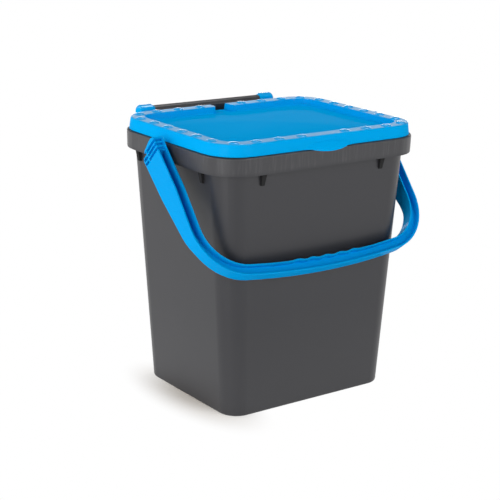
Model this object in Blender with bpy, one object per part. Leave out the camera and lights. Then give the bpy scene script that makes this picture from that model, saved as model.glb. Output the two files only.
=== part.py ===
"""Carrying caddy for kitchen waste: a tapered bucket, a lid that hooks over its hinge rail, and a carrying bail.

Metres, +Z up. The front, with the pull tab, faces -Y, and the hinge is at +Y. The origin lies on the floor,
under the middle of the rim. Every moulding is made from rings: rounded rectangles stacked along a profile of
heights and outsets, so that walls, shoulder, lip and gutter follow one another round all four corners.
"""

import math

import bmesh
import bpy
from mathutils import Matrix, Vector

# Bucket walls
BASE_WIDTH = 0.300
BASE_DEPTH = 0.233
BASE_CORNER = 0.030
BASE_FORWARD = 0.0075
TOP_WIDTH = 0.3525
TOP_DEPTH = 0.266
TOP_CORNER = 0.040
WALL = 0.0025
FLOOR = 0.0050
FOOT_ROUND = 0.0030
FLOOR_ROUND = 0.0080
FOOT_RING = 0.0140
FOOT_RECESS = 0.0020
GATE_PAD_RADIUS = 0.0240
FOOT_RIB = 0.0030

# Rim band: a shoulder that folds down outside the wall
BAND_BOTTOM_Z = 0.374
BAND_HEIGHT = 0.027
BAND_BOTTOM_OUTSET = 0.0129
BAND_TOP_OUTSET = 0.0136
BAND_WALL = 0.0025
SHOULDER = 0.0026
SHOULDER_ROUND = 0.0015
LIP_DRAFT = 0.05

# Gussets that tie the band to the wall
GUSSET_WIDTH = 0.0120
GUSSET_FOOT_WIDTH = 0.0055
GUSSET_DROP = 0.0190
GUSSET_FOOT_DEPTH = 0.0020
GUSSET_X = 0.1115
GUSSET_FRONT_Y = 0.0760
GUSSET_REAR_Y = 0.0920

# Lid
LID_WALL = 0.0024
LID_RISE = 0.0190
LID_SKIRT_OUTSET = 0.0101
LID_RIM_OUTSET = 0.0079
LID_EDGE_ROUND = 0.0016
RIM_INNER_INSET = 0.0130
INNER_WALL_DRAFT = 0.0010
GUTTER_DEPTH = 0.0106
GUTTER_ROUND = 0.0026
GUTTER_WIDTH = 0.0040
PANEL_INSET = 0.0240
PANEL_RISE = 0.0016
PANEL_CORNER = 0.0520
CROWN = 0.0044
SEAT_GAP = 0.0003
SKIRT_GAP = 0.0008

# Domed buttons round the lid's rim
PAD_PITCH_X = 0.0406
PAD_PITCH_Y = 0.0374
PADS_PER_LONG_HALF = 3
PADS_PER_SHORT_HALF = 3
PAD_RADIUS = 0.0080
PAD_HEIGHT = 0.0021
PAD_ROOT = 0.0008
PAD_SIDES = 16

# Notch in the lid's rear ridge
NOTCH_WIDTH = 0.0300
NOTCH_CORNER = 0.0080
NOTCH_CLEARANCE = 0.0008

# Pull tab on the lid's front skirt
TAB_HALF_WIDTH = 0.0550
TAB_REACH = 0.0090
TAB_TOP_DROP = 0.0070
TAB_LIP_DROP = 0.0032
TAB_LIP_HALF_WIDTH = 0.0350
TAB_INLAY = 0.0005
TAB_FALL = 1.2
TAB_STEP = 0.0002
TAB_HOLLOW_LEAST = 0.0012
TAB_GAP = 0.0006

# Hinge rail behind the rim
HINGE_SETBACK = 0.0380
HINGE_DROP = 0.0065
RAIL_THICKNESS = 0.0160
RAIL_DROP = 0.0180
RAIL_LENGTH = 0.2050
RAIL_WALL = 0.0026
PIN_RADIUS = 0.0070
PIN_REACH = 0.0247
BRACKETS = 5
BRACKET_THICKNESS = 0.0040
BRACKET_SPAN = 0.1960

# Hooks of the lid
HOOK_WIDTH = 0.0270
HOOK_SIDE_GAP = 0.0011
HOOK_WALL = 0.0033
HOOK_RUNNING_GAP = 0.0004
HOOK_MOUTH = 0.0118
HOOK_END = 0.0028
HOOK_ROUND = 0.0040
HOOK_ARM_TOP = 0.0055
HOOK_ARM_THICKNESS = 0.0110

# Carrying bail
BAIL_PIVOT_SETBACK = 0.1415
BAIL_PIVOT_RISE = 0.0140
BAIL_DROP_DEG = 51.7
BAIL_SIDE_GAP = 0.00755
BAIL_REACH = 0.2322
BAIL_BOW = 0.0196
BAIL_CORNER = 0.0840
CHANNEL_WIDTH = 0.0171
FLANGE = 0.0026
WEB = 0.0026
ARM_WEB_SHARE = 0.30
GRIP_WEB_SHARE = 0.50
ARM_FRONT = 0.0253
ARM_BACK = -0.0193
ELBOW_FRONT = 0.0322
ELBOW_BACK = -0.0097
GRIP_FRONT = 0.0325
GRIP_BACK = 0.0125
ARM_LENGTH = 0.0050
ELBOW_LENGTH = 0.0730
TAPER_LENGTH = 0.1740
SCALLOPS = 5
SCALLOP_PITCH = 0.0266
SCALLOP_DEPTH = 0.0019
ARM_END = 0.0140
ARM_BLOCK = 0.0096
ARM_BLOCK_INSET = 0.0012
ARM_SLOTS = 3
ARM_SLOT_PITCH = 0.0066
ARM_SLOT_WIDTH = 0.0042
ARM_SLOT_DEPTH = 0.0055
ARM_SLOT_RIB = 0.0026
ARM_SLOT_SLANT = 0.16
STUD_RADIUS = 0.0060
STUD_RUNNING_GAP = 0.0004
STUD_FACE_GAP = 0.0006
STUD_HEAD_RADIUS = 0.0080
STUD_HEAD = 0.0028
STUD_COLLAR_RADIUS = 0.0092

# Outline of the arm's end, as shares of the arm's end length and of its front and back reach
ARM_END_SHARES = ((0.66, 1.0), (0.90, 0.93), (1.0, 0.69), (0.87, 0.35), (0.46, -0.41), (-0.04, -0.80), (-0.53, -1.0))

CORNER_STEPS = 8
ROUND_STEPS = 3
LIP_STEPS = 6
TAB_COLUMNS = 32
TAB_ROWS = 9
PIN_SIDES = 32
OVERRUN = 0.0100

BAND_TOP_Z = BAND_BOTTOM_Z + BAND_HEIGHT
LID_TOP_Z = BAND_TOP_Z + LID_RISE
LIP_TOP_Z = LID_TOP_Z - LID_WALL - SEAT_GAP
SKIRT_BOTTOM_Z = BAND_TOP_Z + SKIRT_GAP
GUTTER_Z = LID_TOP_Z - GUTTER_DEPTH
PANEL_EDGE_Z = GUTTER_Z + PANEL_RISE
TAB_TOP_Z = LID_TOP_Z - TAB_TOP_DROP
TAB_BOTTOM_Z = BAND_TOP_Z - TAB_LIP_DROP
HINGE_Y = TOP_DEPTH / 2 + HINGE_SETBACK
HINGE_Z = LID_TOP_Z - HINGE_DROP
RAIL_BOTTOM_Z = HINGE_Z - RAIL_DROP
BAIL_PIVOT_Y = BAIL_PIVOT_SETBACK - TOP_DEPTH / 2
BAIL_PIVOT_Z = BAND_BOTTOM_Z + BAIL_PIVOT_RISE
BAIL_HALF_WIDTH = TOP_WIDTH / 2 + BAND_TOP_OUTSET + BAIL_SIDE_GAP + CHANNEL_WIDTH


def mix(first, second, share):
    """A value between two others."""
    return first + (second - first) * share


def new_collection(name):
    """A collection of the scene."""
    collection = bpy.data.collections.new(name)
    bpy.context.scene.collection.children.link(collection)
    return collection


def plastic(name, colour, roughness):
    """A moulded plastic."""
    material = bpy.data.materials.new(name)
    material.use_nodes = True
    shader = material.node_tree.nodes["Principled BSDF"]
    shader.inputs["Base Color"].default_value = (*colour, 1.0)
    shader.inputs["Roughness"].default_value = roughness
    shader.inputs["Metallic"].default_value = 0.0
    return material


def mesh_object(name, mesh_data, collection, material=None):
    """An object made from a bmesh, with its normals turned outwards."""
    bmesh.ops.recalc_face_normals(mesh_data, faces=mesh_data.faces)
    mesh = bpy.data.meshes.new(name)
    mesh_data.to_mesh(mesh)
    mesh_data.free()
    if material:
        mesh.materials.append(material)
    made = bpy.data.objects.new(name, mesh)
    collection.objects.link(made)
    return made


def helper(name, mesh_data):
    """A solid that another is joined to or cut with. It isn't a piece of its own."""
    made = mesh_object(name, mesh_data, bpy.data.collections["tools"])
    made.hide_render = True
    made.display_type = "WIRE"
    return made


def boolean(piece, tool, operation):
    """Joins a tool's solid to a piece, or cuts it away."""
    modifier = piece.modifiers.new(tool.name, "BOOLEAN")
    modifier.operation = operation
    modifier.solver = "EXACT"
    modifier.object = tool


def rounded_rectangle(half_x, half_y, corner, centre_y, height):
    """The points of one ring, starting at the front right corner."""
    points = []
    for quarter, (side_x, side_y) in enumerate(((1, -1), (1, 1), (-1, 1), (-1, -1))):
        centre = Vector((side_x * (half_x - corner), side_y * (half_y - corner) + centre_y, height))
        for step in range(CORNER_STEPS + 1):
            angle = math.pi / 2 * (quarter - 1 + step / CORNER_STEPS)
            points.append(centre + corner * Vector((math.cos(angle), math.sin(angle), 0)))
    return points


def bucket_ring(height, outset):
    """A ring that lies outset from the bucket's wall at this height. Above the band's foot the wall has its own draft."""
    share = min(height / BAND_BOTTOM_Z, 1)
    outset += max(height - BAND_BOTTOM_Z, 0) * LIP_DRAFT
    return rounded_rectangle(
        mix(BASE_WIDTH, TOP_WIDTH, share) / 2 + outset,
        mix(BASE_DEPTH, TOP_DEPTH, share) / 2 + outset,
        mix(BASE_CORNER, TOP_CORNER, share) + outset,
        -mix(BASE_FORWARD, 0, share),
        height,
    )


def band_ring(height, inset):
    """A ring inside the band's outer face, whose draft runs from its foot to its shoulder."""
    share = (height - BAND_BOTTOM_Z) / BAND_HEIGHT
    outset = mix(BAND_BOTTOM_OUTSET, BAND_TOP_OUTSET, share) - inset
    return rounded_rectangle(
        TOP_WIDTH / 2 + outset, TOP_DEPTH / 2 + outset, TOP_CORNER + outset, 0, height
    )


def lid_ring(height, outset):
    """A ring of the lid, outset from the outline of the bucket's top."""
    return rounded_rectangle(
        TOP_WIDTH / 2 + outset, TOP_DEPTH / 2 + outset, TOP_CORNER + outset, 0, height
    )


def panel_ring(height, share):
    """A ring of the lid's crowned panel, as a share of the panel's outline."""
    return rounded_rectangle(
        (TOP_WIDTH / 2 - PANEL_INSET) * share,
        (TOP_DEPTH / 2 - PANEL_INSET) * share,
        PANEL_CORNER * share,
        0,
        height,
    )


def loft(rings):
    """A closed solid through a stack of rings, capped at both ends."""
    solid = bmesh.new()
    add_loft(solid, rings)
    return solid


def add_loft(solid, rings):
    """Adds a closed stack of rings to a bmesh."""
    loops = [[solid.verts.new(point) for point in ring] for ring in rings]
    for lower, upper in zip(loops, loops[1:]):
        for index, corner in enumerate(lower):
            after = (index + 1) % len(lower)
            solid.faces.new((corner, lower[after], upper[after], upper[index]))
    solid.faces.new(loops[0])
    solid.faces.new(loops[-1])


def add_prism(solid, outline, start, end, place):
    """Adds a flat outline to a bmesh, extruded from start to end. place turns (a, b, along) into a point."""
    face = solid.faces.new([solid.verts.new(place(a, b, start)) for a, b in outline])
    extruded = bmesh.ops.extrude_face_region(solid, geom=[face])["geom"]
    moved = [item for item in extruded if isinstance(item, bmesh.types.BMVert)]
    shift = place(0, 0, end) - place(0, 0, start)
    bmesh.ops.translate(solid, verts=moved, vec=shift)


def along_x(a, b, along):
    """Places a side outline, given as (y, z), along X."""
    return Vector((along, a, b))


def along_y(a, b, along):
    """Places a front outline, given as (x, z), along Y."""
    return Vector((a, along, b))


def upright(a, b, along):
    """Places a plan outline, given as (x, y), along Z."""
    return Vector((a, b, along))


def add_box(solid, low, high):
    """Adds a box between two corners to a bmesh."""
    low, high = Vector(low), Vector(high)
    size = high - low
    matrix = Matrix.Translation((low + high) / 2) @ Matrix.Diagonal((*size, 1))
    bmesh.ops.create_cube(solid, size=1, matrix=matrix)


def add_cylinder(solid, radius, start, end, sides=PIN_SIDES):
    """Adds a cylinder along X between two end centres to a bmesh."""
    start, end = Vector(start), Vector(end)
    matrix = Matrix.Translation((start + end) / 2) @ Matrix.Rotation(math.pi / 2, 4, "Y")
    bmesh.ops.create_cone(
        solid,
        cap_ends=True,
        segments=sides,
        radius1=radius,
        radius2=radius,
        depth=abs(end.x - start.x),
        matrix=matrix,
    )


def put_origin_on(piece, point):
    """Moves a piece's origin to a point of its joint's axis, with its shape left in place."""
    piece.data.transform(Matrix.Translation(-Vector(point)))
    piece.location = point


def quarter_round(radius):
    """Steps along a quarter round, as (across, up) shares of its radius, from the lower face to the side."""
    angles = [math.pi / 2 * step / ROUND_STEPS for step in range(ROUND_STEPS + 1)]
    return [(radius * math.sin(angle), radius * (1 - math.cos(angle))) for angle in angles]


def bucket_rings():
    """The bucket's rings, from the middle of its underside, out over wall, band and lip, to its inner floor."""
    rings = [bucket_ring(up, across - FOOT_ROUND) for across, up in quarter_round(FOOT_ROUND)]
    shoulder_under = BAND_TOP_Z - SHOULDER
    rings.append(bucket_ring(BAND_BOTTOM_Z, 0))
    rings.append(bucket_ring(shoulder_under, 0))
    rings.append(band_ring(shoulder_under, BAND_WALL))
    rings.append(band_ring(BAND_BOTTOM_Z, BAND_WALL))
    rings.append(band_ring(BAND_BOTTOM_Z, 0))
    for across, up in quarter_round(SHOULDER_ROUND)[::-1]:
        rings.append(band_ring(BAND_TOP_Z - up, SHOULDER_ROUND - across))
    rings.append(bucket_ring(BAND_TOP_Z, 0))
    rings.append(bucket_ring(LIP_TOP_Z, 0))
    rings.append(bucket_ring(LIP_TOP_Z, -WALL))
    rings.append(bucket_ring(BAND_BOTTOM_Z, -WALL))
    for across, up in quarter_round(FLOOR_ROUND)[::-1]:
        rings.append(bucket_ring(FLOOR + up, across - FLOOR_ROUND - WALL))
    return rings


def gussets():
    """Tapered blocks under the band that tie its foot to the wall."""
    solid = bmesh.new()
    shoulder_under = BAND_TOP_Z - SHOULDER / 2
    places = [(x, side) for side in (-1, 1) for x in (-GUSSET_X, GUSSET_X)]
    for x, side in places:
        add_gusset(solid, shoulder_under, Vector((x, side * TOP_DEPTH / 2, 0)), Vector((0, side, 0)))
    for side in (-1, 1):
        for y in (-GUSSET_FRONT_Y, GUSSET_REAR_Y):
            add_gusset(solid, shoulder_under, Vector((side * TOP_WIDTH / 2, y, 0)), Vector((side, 0, 0)))
    return solid


def add_gusset(solid, top, foot, outward):
    """Adds one gusset whose inner face lies inside the wall and whose width and depth shrink downwards."""
    sideways = Vector((-outward.y, outward.x, 0))
    bottom = BAND_BOTTOM_Z - GUSSET_DROP
    depth = BAND_BOTTOM_OUTSET - BAND_WALL / 2
    made = bmesh.ops.create_cube(solid, size=1)["verts"]
    for vert in made:
        upper = vert.co.z > 0
        width = GUSSET_WIDTH if upper else GUSSET_FOOT_WIDTH
        reach = depth if upper else GUSSET_FOOT_DEPTH
        inner = -WALL / 2 if upper else -WALL
        across = reach if vert.co.x > 0 else inner
        along = math.copysign(width / 2, vert.co.y)
        height = top if upper else bottom
        vert.co = foot + outward * across + sideways * along + Vector((0, 0, height))


def rail_outline(radius, bottom):
    """Side view of the hinge rail: a round top on straight sides."""
    steps = 12
    arc = [math.pi * step / steps for step in range(steps + 1)]
    points = [(HINGE_Y + radius * math.cos(angle), HINGE_Z + radius * math.sin(angle)) for angle in arc]
    return [(HINGE_Y + radius, bottom), *points, (HINGE_Y - radius, bottom)]


def bracket_outline():
    """Side view of a bracket: from the band's rear face, under the lid's path, to the inside of the rail."""
    band = TOP_DEPTH / 2 + BAND_BOTTOM_OUTSET - BAND_WALL / 2
    front = HINGE_Y - RAIL_THICKNESS / 2 + RAIL_WALL / 2
    rear = HINGE_Y + RAIL_THICKNESS / 2 - RAIL_WALL / 2
    waist = RAIL_BOTTOM_Z - PIN_RADIUS
    return [
        (band, BAND_BOTTOM_Z + SHOULDER),
        (front, waist),
        (rear, RAIL_BOTTOM_Z + SHOULDER_ROUND),
        (rear, HINGE_Z),
        (front, HINGE_Z),
        (front, BAND_TOP_Z + SHOULDER),
        (band, BAND_TOP_Z - SHOULDER / 2),
    ]


def rail():
    """The hinge rail, open below, with a closed end wall at each end."""
    solid = bmesh.new()
    half = RAIL_LENGTH / 2
    add_prism(solid, rail_outline(RAIL_THICKNESS / 2, RAIL_BOTTOM_Z), -half, half, along_x)
    return solid


def rail_hollow():
    """The hollow of the rail, between its end walls."""
    solid = bmesh.new()
    half = RAIL_LENGTH / 2 - RAIL_WALL
    outline = rail_outline(RAIL_THICKNESS / 2 - RAIL_WALL, RAIL_BOTTOM_Z - OVERRUN)
    add_prism(solid, outline, -half, half, along_x)
    return solid


def brackets():
    """Plates from the band to the rail, evenly spaced."""
    solid = bmesh.new()
    for index in range(BRACKETS):
        middle = BRACKET_SPAN * (index / (BRACKETS - 1) - 0.5)
        half = BRACKET_THICKNESS / 2
        add_prism(solid, bracket_outline(), middle - half, middle + half, along_x)
    return solid


def pins():
    """The round ends of the rail, on which the lid's hooks turn."""
    solid = bmesh.new()
    for side in (-1, 1):
        inner = side * (RAIL_LENGTH / 2 - RAIL_WALL / 2)
        outer = side * (RAIL_LENGTH / 2 + PIN_REACH)
        add_cylinder(solid, PIN_RADIUS, (inner, HINGE_Y, HINGE_Z), (outer, HINGE_Y, HINGE_Z))
    return solid


def bail_bearings():
    """The round holes in the band's sides that hold the bail's studs."""
    solid = bmesh.new()
    face = TOP_WIDTH / 2 + BAND_TOP_OUTSET
    for side in (-1, 1):
        inner = (side * (face - BAND_WALL - BAND_WALL), BAIL_PIVOT_Y, BAIL_PIVOT_Z)
        outer = (side * (face + OVERRUN), BAIL_PIVOT_Y, BAIL_PIVOT_Z)
        add_cylinder(solid, STUD_RADIUS + STUD_RUNNING_GAP, inner, outer)
    return solid


def lip_notch():
    """The gap in the bucket's rear lip, under the lid's notch."""
    solid = bmesh.new()
    half = NOTCH_WIDTH / 2 + NOTCH_CORNER + LID_WALL + NOTCH_CLEARANCE
    lip = TOP_DEPTH / 2
    low = (-half, lip - OVERRUN, BAND_TOP_Z + NOTCH_CLEARANCE)
    high = (half, lip + OVERRUN, LIP_TOP_Z + OVERRUN)
    add_box(solid, low, high)
    return solid


def foot_recess():
    """The shallow hollow under the base, inside the foot ring."""
    return loft([bucket_ring(height, -FOOT_RING) for height in (-OVERRUN, FOOT_RECESS)])


def foot_ribs():
    """The pad and the cross of ribs left standing in the hollow under the base."""
    solid = bmesh.new()
    middle = Vector((0, -BASE_FORWARD, 0))
    half_x = BASE_WIDTH / 2 - FOOT_RING / 2
    half_y = BASE_DEPTH / 2 - FOOT_RING / 2
    top = FOOT_RECESS + FLOOR / 4
    bmesh.ops.create_cone(
        solid,
        cap_ends=True,
        segments=PIN_SIDES,
        radius1=GATE_PAD_RADIUS,
        radius2=GATE_PAD_RADIUS,
        depth=top,
        matrix=Matrix.Translation(middle + Vector((0, 0, top / 2))),
    )
    pad = helper("foot_pad", solid)
    solid = bmesh.new()
    half = FOOT_RIB / 2
    add_box(solid, middle - Vector((half_x, half, 0)), middle + Vector((half_x, half, top)))
    rib_x = helper("foot_rib_x", solid)
    solid = bmesh.new()
    add_box(solid, middle - Vector((half, half_y, 0)), middle + Vector((half, half_y, top)))
    rib_y = helper("foot_rib_y", solid)
    return pad, rib_x, rib_y


def make_bucket(collection, material):
    """The bucket: walls, floor, rim band with gussets, and the hinge rail on its brackets."""
    bucket = mesh_object("bucket", loft(bucket_rings()), collection, material)
    boolean(bucket, helper("foot_recess", foot_recess()), "DIFFERENCE")
    for rib in foot_ribs():
        boolean(bucket, rib, "UNION")
    boolean(bucket, helper("gussets", gussets()), "UNION")
    hinge_rail = helper("rail", rail())
    boolean(hinge_rail, helper("rail_hollow", rail_hollow()), "DIFFERENCE")
    boolean(bucket, hinge_rail, "UNION")
    boolean(bucket, helper("brackets", brackets()), "UNION")
    boolean(bucket, helper("pins", pins()), "UNION")
    boolean(bucket, helper("bail_bearings", bail_bearings()), "DIFFERENCE")
    boolean(bucket, helper("lip_notch", lip_notch()), "DIFFERENCE")
    return bucket


def lid_rings():
    """The lid's rings, from the middle of its underside, out to the skirt's edge, over the rim to the panel."""
    crown_z = PANEL_EDGE_Z + CROWN
    crown = [(PANEL_EDGE_Z, 1.0)]
    for share in (0.84, 0.60, 0.32, 0.06):
        crown.append((crown_z - CROWN * share * share, share))
    hidden_top = LID_TOP_Z - LID_WALL
    inner_face = -RIM_INNER_INSET + LID_WALL
    rings = [panel_ring(height - LID_WALL, share) for height, share in crown[::-1]]
    rings.append(lid_ring(GUTTER_Z - LID_WALL, -RIM_INNER_INSET - GUTTER_WIDTH))
    rings.append(lid_ring(GUTTER_Z - LID_WALL, -RIM_INNER_INSET))
    rings.append(lid_ring(GUTTER_Z, inner_face - INNER_WALL_DRAFT))
    rings.append(lid_ring(hidden_top, inner_face))
    rings.append(lid_ring(hidden_top, LID_RIM_OUTSET - LID_WALL))
    rings.append(lid_ring(SKIRT_BOTTOM_Z, LID_SKIRT_OUTSET - LID_WALL))
    rings.append(lid_ring(SKIRT_BOTTOM_Z, LID_SKIRT_OUTSET))
    for across, up in quarter_round(LID_EDGE_ROUND)[::-1]:
        rings.append(lid_ring(LID_TOP_Z - up, LID_RIM_OUTSET - LID_EDGE_ROUND + across))
    for across, up in quarter_round(LID_EDGE_ROUND / 2):
        rings.append(lid_ring(LID_TOP_Z - up, -RIM_INNER_INSET + LID_EDGE_ROUND / 2 - across))
    foot = -RIM_INNER_INSET - INNER_WALL_DRAFT
    for across, up in quarter_round(GUTTER_ROUND)[::-1]:
        rings.append(lid_ring(GUTTER_Z + up, foot - GUTTER_ROUND + across))
    rings.append(lid_ring(GUTTER_Z, foot - GUTTER_ROUND - GUTTER_WIDTH))
    rings += [panel_ring(height, share) for height, share in crown]
    return rings


def pad_places():
    """Where the rim's buttons stand, with one in each corner half way between its neighbours."""
    middle = (LID_RIM_OUTSET - RIM_INNER_INSET) / 2
    half_x = TOP_WIDTH / 2 + middle
    half_y = TOP_DEPTH / 2 + middle
    corner = TOP_CORNER + middle
    last_x = PAD_PITCH_X * PADS_PER_LONG_HALF
    last_y = PAD_PITCH_Y * (PADS_PER_SHORT_HALF - 0.5)
    straight_x = half_x - corner - last_x
    straight_y = half_y - corner - last_y
    arc = corner * math.pi / 2
    angle = ((straight_x + arc + straight_y) / 2 - straight_x) / corner
    quarter = [(PAD_PITCH_X * index, half_y) for index in range(1, PADS_PER_LONG_HALF + 1)]
    quarter.append((half_x - corner + corner * math.sin(angle), half_y - corner + corner * math.cos(angle)))
    quarter += [(half_x, PAD_PITCH_Y * (index + 0.5)) for index in range(PADS_PER_SHORT_HALF)]
    return [(side_x * x, side_y * y) for side_x in (-1, 1) for side_y in (-1, 1) for x, y in quarter]


def pads():
    """The rim's raised buttons: low domes on a short root that is sunk in the rim."""
    solid = bmesh.new()
    dome_radius = (PAD_RADIUS**2 + PAD_HEIGHT**2) / (2 * PAD_HEIGHT)
    spread = math.asin(PAD_RADIUS / dome_radius)
    for x, y in pad_places():
        centre = Vector((x, y, LID_TOP_Z + PAD_HEIGHT - dome_radius))
        loops = [pad_ring(Vector((x, y, LID_TOP_Z - PAD_ROOT)), PAD_RADIUS)]
        for share in (1, 2 / 3, 1 / 3):
            up = Vector((0, 0, dome_radius * math.cos(spread * share)))
            loops.append(pad_ring(centre + up, dome_radius * math.sin(spread * share)))
        add_loft(solid, loops)
    return solid


def pad_ring(centre, radius):
    """A level circle of points."""
    angles = [math.tau * side / PAD_SIDES for side in range(PAD_SIDES)]
    return [centre + radius * Vector((math.cos(angle), math.sin(angle), 0)) for angle in angles]


def notch_block():
    """The block that carries the floor and the side walls of the rear notch."""
    solid = bmesh.new()
    half = NOTCH_WIDTH / 2 + NOTCH_CORNER + LID_WALL
    inner = TOP_DEPTH / 2 - RIM_INNER_INSET - INNER_WALL_DRAFT + LID_WALL / 2
    outer = TOP_DEPTH / 2 + LID_RIM_OUTSET - LID_WALL / 2
    add_box(solid, (-half, inner, GUTTER_Z - LID_WALL), (half, outer, LID_TOP_Z - LID_WALL / 2))
    return solid


def notch():
    """The notch through the rear ridge, in plan: straight at the back, flared in quarter rounds at the front."""
    solid = bmesh.new()
    half = NOTCH_WIDTH / 2
    front = TOP_DEPTH / 2 - RIM_INNER_INSET - INNER_WALL_DRAFT
    rear = TOP_DEPTH / 2 + LID_SKIRT_OUTSET + OVERRUN
    side = [(half, rear)]
    for step in range(ROUND_STEPS + 2):
        angle = math.pi / 2 * step / (ROUND_STEPS + 1)
        across = NOTCH_CORNER * (1 - math.cos(angle))
        side.append((half + across, front + NOTCH_CORNER * (1 - math.sin(angle))))
    side.append((half + NOTCH_CORNER, front - OVERRUN / 2))
    outline = side + [(-x, y) for x, y in side[::-1]]
    add_prism(solid, outline, GUTTER_Z, LID_TOP_Z + OVERRUN, upright)
    return solid


def tab_height_share(z):
    """A height on the tab, from 0 at its lip to 1 at its top."""
    return min(max((z - TAB_BOTTOM_Z) / (TAB_TOP_Z - TAB_BOTTOM_Z), 0), 1)


def tab_reach(x, z):
    """How far the tab swells out of the skirt."""
    left = max(1 - (x / TAB_HALF_WIDTH) ** 2 - tab_height_share(z) ** 2, 0)
    return TAB_REACH * left**TAB_FALL


def skirt_face(z):
    """The distance of the drafted skirt's front face from the middle."""
    share = (z - SKIRT_BOTTOM_Z) / (LID_TOP_Z - LID_EDGE_ROUND - SKIRT_BOTTOM_Z)
    return TOP_DEPTH / 2 + mix(LID_SKIRT_OUTSET, LID_RIM_OUTSET, share)


def tab_ring(z, half, face, back, inset):
    """A level outline of the tab or of its hollow: the swelling in front and a straight back."""
    columns = [half * (2 * index / TAB_COLUMNS - 1) for index in range(TAB_COLUMNS + 1)]
    ring = [Vector((x, inset - face - tab_reach(x, z), z)) for x in columns]
    return ring + [Vector((half, -back, z)), Vector((-half, -back, z))]


def tab_swelling():
    """The pull tab as a smooth swelling of the front skirt."""
    back = TOP_DEPTH / 2 + LID_SKIRT_OUTSET - LID_WALL
    rings = []
    for row in range(TAB_ROWS):
        share = math.sin(math.pi / 2 * row / (TAB_ROWS - 1))
        z = mix(TAB_BOTTOM_Z, TAB_TOP_Z, share)
        rings.append(tab_ring(z, TAB_HALF_WIDTH, skirt_face(max(z, SKIRT_BOTTOM_Z)), back, TAB_INLAY))
    return helper("tab", loft(rings))


def tab_hollow():
    """The hollow behind the tab, open below, in which the fingers pull."""
    skirt = TOP_DEPTH / 2 + LID_SKIRT_OUTSET
    least = LID_WALL + TAB_HOLLOW_LEAST
    rings = []
    for row in range(-1, TAB_ROWS // 2 + 1):
        z = mix(TAB_BOTTOM_Z, TAB_TOP_Z, row / (TAB_ROWS - 1))
        left = (least / TAB_REACH) ** (1 / TAB_FALL)
        half = TAB_HALF_WIDTH * math.sqrt(1 - left - tab_height_share(z) ** 2)
        rings.append(tab_ring(z, half, skirt_face(max(z, SKIRT_BOTTOM_Z)), skirt + SEAT_GAP, LID_WALL))
    return helper("tab_hollow", loft(rings))


def tab_clearance():
    """What the tab leaves free below the skirt, so that it passes in front of the band."""
    solid = bmesh.new()
    front = TOP_DEPTH / 2 + BAND_TOP_OUTSET + TAB_GAP
    low = (-TAB_HALF_WIDTH - OVERRUN, -front, TAB_BOTTOM_Z - OVERRUN)
    high = (TAB_HALF_WIDTH + OVERRUN, 0, SKIRT_BOTTOM_Z + TAB_STEP)
    add_box(solid, low, high)
    return solid


def tab_edge():
    """What lies below the arch of the tab's lip, seen from the front."""
    solid = bmesh.new()
    level = SKIRT_BOTTOM_Z + TAB_STEP
    outline = [(-TAB_HALF_WIDTH - OVERRUN, level)]
    for step in range(-LIP_STEPS, LIP_STEPS + 1):
        share = step / LIP_STEPS
        outline.append((TAB_LIP_HALF_WIDTH * share, mix(TAB_BOTTOM_Z, level, share**2)))
    outline.append((TAB_HALF_WIDTH + OVERRUN, level))
    outline.append((TAB_HALF_WIDTH + OVERRUN, TAB_BOTTOM_Z - OVERRUN))
    outline.append((-TAB_HALF_WIDTH - OVERRUN, TAB_BOTTOM_Z - OVERRUN))
    front = -(TOP_DEPTH / 2 + LID_SKIRT_OUTSET + TAB_REACH + OVERRUN)
    add_prism(solid, outline, front, 0, along_y)
    return solid


def hook_span(side):
    """Where a hook begins, next to the rail, and where it ends, along X."""
    start = RAIL_LENGTH / 2 + HOOK_SIDE_GAP
    return side * start, side * (start + HOOK_WIDTH)


def hooks():
    """The lid's hooks: a blind barrel over each pin, on a flat arm that grows out of the rear skirt."""
    arms = bmesh.new()
    barrels = bmesh.new()
    outer = PIN_RADIUS + HOOK_RUNNING_GAP + HOOK_WALL
    root = TOP_DEPTH / 2 + LID_RIM_OUTSET - LID_WALL / 2
    top = LID_TOP_Z - HOOK_ARM_TOP
    for side in (-1, 1):
        start, end = hook_span(side)
        edge = side * HOOK_ROUND
        profile = [(start, outer - HOOK_ROUND / 2), (start + edge, outer)]
        for step in range(ROUND_STEPS + 1):
            angle = math.pi / 2 * step / ROUND_STEPS
            profile.append((end - edge * (1 - math.sin(angle)), outer - HOOK_ROUND * (1 - math.cos(angle))))
        add_loft(barrels, [hook_ring(x, radius) for x, radius in profile])
        low, high = sorted((start + edge / 2, end - edge / 2))
        add_box(arms, (low, root, top - HOOK_ARM_THICKNESS), (high, HINGE_Y - outer / 2, top))
    return helper("hook_arms", arms), helper("hook_barrels", barrels)


def hook_ring(x, radius):
    """A circle of points round the hinge axis."""
    angles = [math.tau * side / PIN_SIDES for side in range(PIN_SIDES)]
    return [Vector((x, HINGE_Y + radius * math.cos(angle), HINGE_Z + radius * math.sin(angle))) for angle in angles]


def hook_bores():
    """The blind bores of the hooks, and the mouths below through which they clip over the pins."""
    bores = bmesh.new()
    mouths = bmesh.new()
    radius = PIN_RADIUS + HOOK_RUNNING_GAP
    half = HOOK_MOUTH / 2
    for side in (-1, 1):
        start, end = hook_span(side)
        start -= side * OVERRUN
        end -= side * HOOK_END
        low, high = sorted((start, end))
        add_cylinder(bores, radius, (start, HINGE_Y, HINGE_Z), (end, HINGE_Y, HINGE_Z))
        add_box(mouths, (low, HINGE_Y - half, HINGE_Z - radius - OVERRUN), (high, HINGE_Y + half, HINGE_Z))
    return helper("hook_bores", bores), helper("hook_mouths", mouths)


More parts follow.
